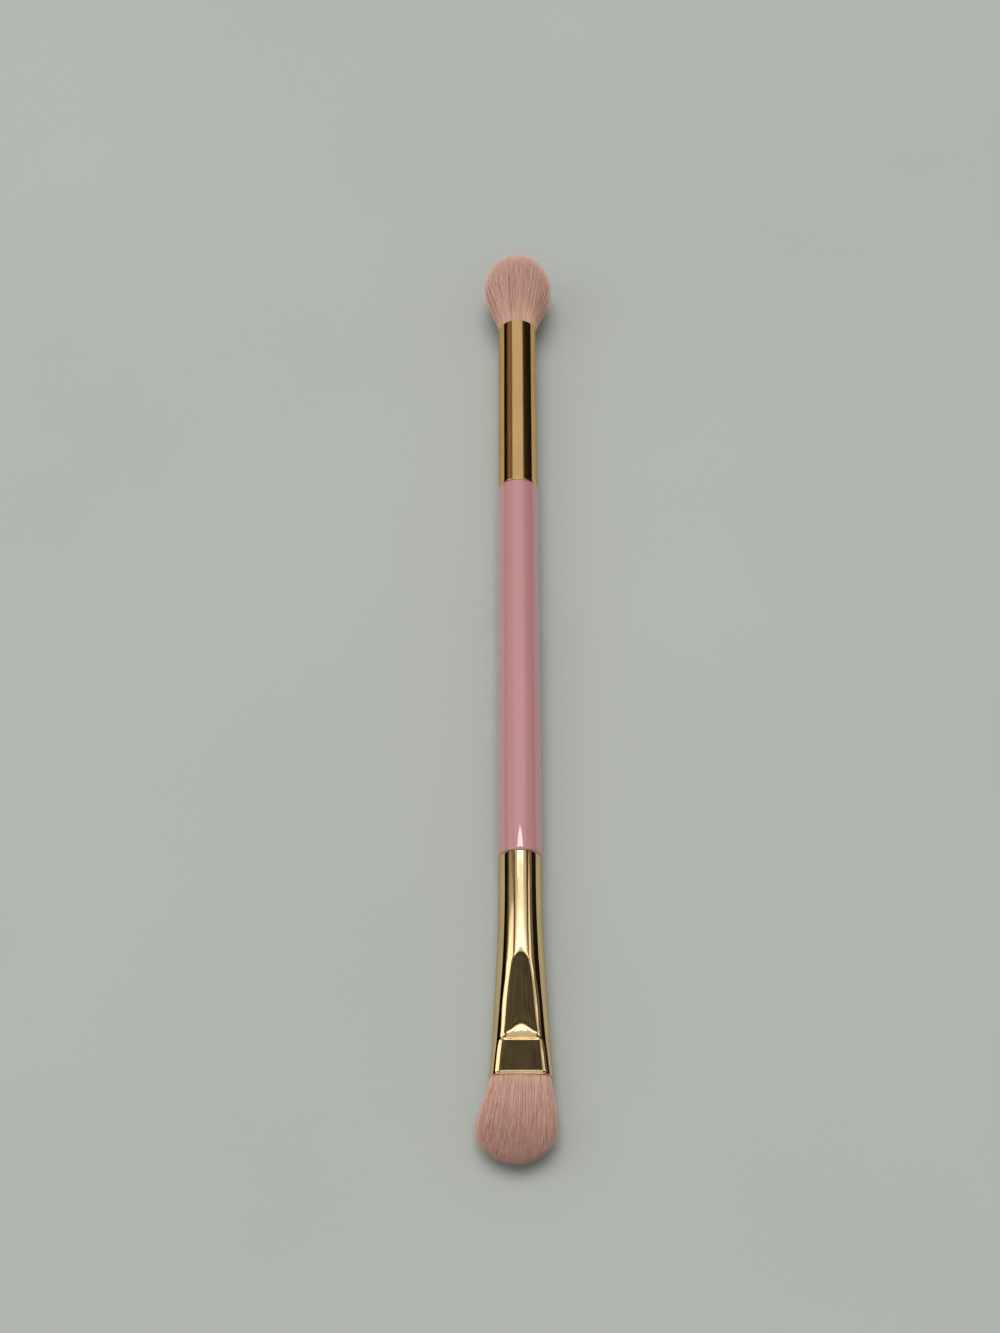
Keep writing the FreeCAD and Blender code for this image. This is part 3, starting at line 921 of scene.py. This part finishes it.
def room_world(light, shine):
    """A plain bright room: one strength for the light that it gives and one where it is seen or mirrored."""
    room = bpy.data.worlds.new("room")
    room.use_nodes = True
    tree = room.node_tree
    background = tree.nodes["Background"]
    background.inputs["Color"].default_value = (1.0, 1.0, 1.0, 1.0)
    path = tree.nodes.new("ShaderNodeLightPath")
    seen = tree.nodes.new("ShaderNodeMath")
    seen.operation = "MAXIMUM"
    strength = tree.nodes.new("ShaderNodeMapRange")
    strength.inputs["To Min"].default_value = light
    strength.inputs["To Max"].default_value = shine
    tree.links.new(path.outputs["Is Camera Ray"], seen.inputs[0])
    tree.links.new(path.outputs["Is Glossy Ray"], seen.inputs[1])
    tree.links.new(seen.outputs["Value"], strength.inputs["Value"])
    tree.links.new(strength.outputs["Result"], background.inputs["Strength"])
    return room


class BRUSH_OT_stage(Operator):
    """Sets the floor, the light and the camera"""

    bl_idname = "eyeshadow_brush.stage"
    bl_label = "Stage"

    def execute(self, context):
        scene = context.scene
        look = scene.brush_stage
        (far, far_height), (near, near_height) = FLOOR_TOUCH
        lean = atan2(far_height - near_height, far - near)
        board = floor_finish(look.floor)
        flat_card("floor", (FLOOR_REACH, FLOOR_REACH), (0.0, far, far_height), (lean, 0.0, 0.0), board)
        # Painted reflections: dark and pale cards that only the shiny surfaces see
        for side, (place, size, turn, foot, top) in SHADE_CARDS.items():
            board = shade_finish(f"shade_board_{side}", size[1], foot, top)
            card = flat_card(f"shade_card_{side}", size, place, turn, board)
            card.visible_camera = False
            card.visible_diffuse = False
            card.visible_shadow = False
        for name, (near_edge, far_edge, length, shine) in CEILING_TUBES.items():
            middle = (0.0, (near_edge + far_edge) / 2, look.tube_height)
            area_lamp(name, middle, (length, far_edge - near_edge), shine)
        for name, (place, size, turn, shine, lights_matt) in WINDOWS.items():
            window = area_lamp(name, place, size, shine)
            window.rotation_euler = turn.to_euler()
            window.visible_diffuse = lights_matt
        overhead = bpy.data.lights.new("overhead_light", "SUN")
        overhead.energy = look.key_light
        overhead.angle = look.key_softness
        key = bpy.data.objects.new("overhead_light", overhead)
        key.rotation_euler = Vector(look.key_direction).to_track_quat("Z", "Y").to_euler()
        key.visible_glossy = False
        scene.collection.objects.link(key)
        scene.world = room_world(look.room_light, look.room_shine)
        view = bpy.data.cameras.new("photo_camera")
        view.lens = look.lens
        camera = bpy.data.objects.new("photo_camera", view)
        camera.location = look.camera_place
        camera.rotation_euler = (pi / 2 - look.camera_dip, 0.0, 0.0)
        scene.collection.objects.link(camera)
        scene.camera = camera
        scene.view_settings.view_transform = "Standard"
        return {"FINISHED"}


class BRUSH_PT_sidebar(Panel):
    """Lists the brush's pieces"""

    bl_idname = "BRUSH_PT_sidebar"
    bl_label = "Eyeshadow brush"
    bl_space_type = "VIEW_3D"
    bl_region_type = "UI"
    bl_category = "Brush"

    def draw(self, context):
        for operator in OPERATORS:
            self.layout.operator(operator.bl_idname)
        for name in SETTINGS:
            group = getattr(context.scene, name)
            box = self.layout.box()
            for value in group.bl_rna.properties:
                if value.identifier not in {"rna_type", "name"}:
                    box.prop(group, value.identifier)


SETTINGS = {
    "brush_colours": BrushColours,
    "brush_handle": HandleShape,
    "brush_pressed_ferrule": PressedFerruleShape,
    "brush_blending_tuft": BlendingTuftShape,
    "brush_shader_tuft": ShaderTuftShape,
    "brush_stage": BrushStage,
}
OPERATORS = (
    BRUSH_OT_stage,
    BRUSH_OT_handle,
    BRUSH_OT_round_ferrule,
    BRUSH_OT_flat_ferrule,
    BRUSH_OT_glue,
    BRUSH_OT_blending_tuft,
    BRUSH_OT_shader_tuft,
)


def register():
    """Adds the settings, operators and panel."""
    for name, group in SETTINGS.items():
        bpy.utils.register_class(group)
        setattr(bpy.types.Scene, name, PointerProperty(type=group))
    for operator in OPERATORS:
        bpy.utils.register_class(operator)
    bpy.utils.register_class(BRUSH_PT_sidebar)


def unregister():
    """Takes the panel, operators and settings out again."""
    bpy.utils.unregister_class(BRUSH_PT_sidebar)
    for operator in reversed(OPERATORS):
        bpy.utils.unregister_class(operator)
    for name, group in reversed(SETTINGS.items()):
        delattr(bpy.types.Scene, name)
        bpy.utils.unregister_class(group)


def main():
    """Builds the dressed brush."""
    register()
    for operator in OPERATORS:
        group, name = operator.bl_idname.split(".")
        getattr(getattr(bpy.ops, group), name)()


if __name__ == "__main__":
    main()
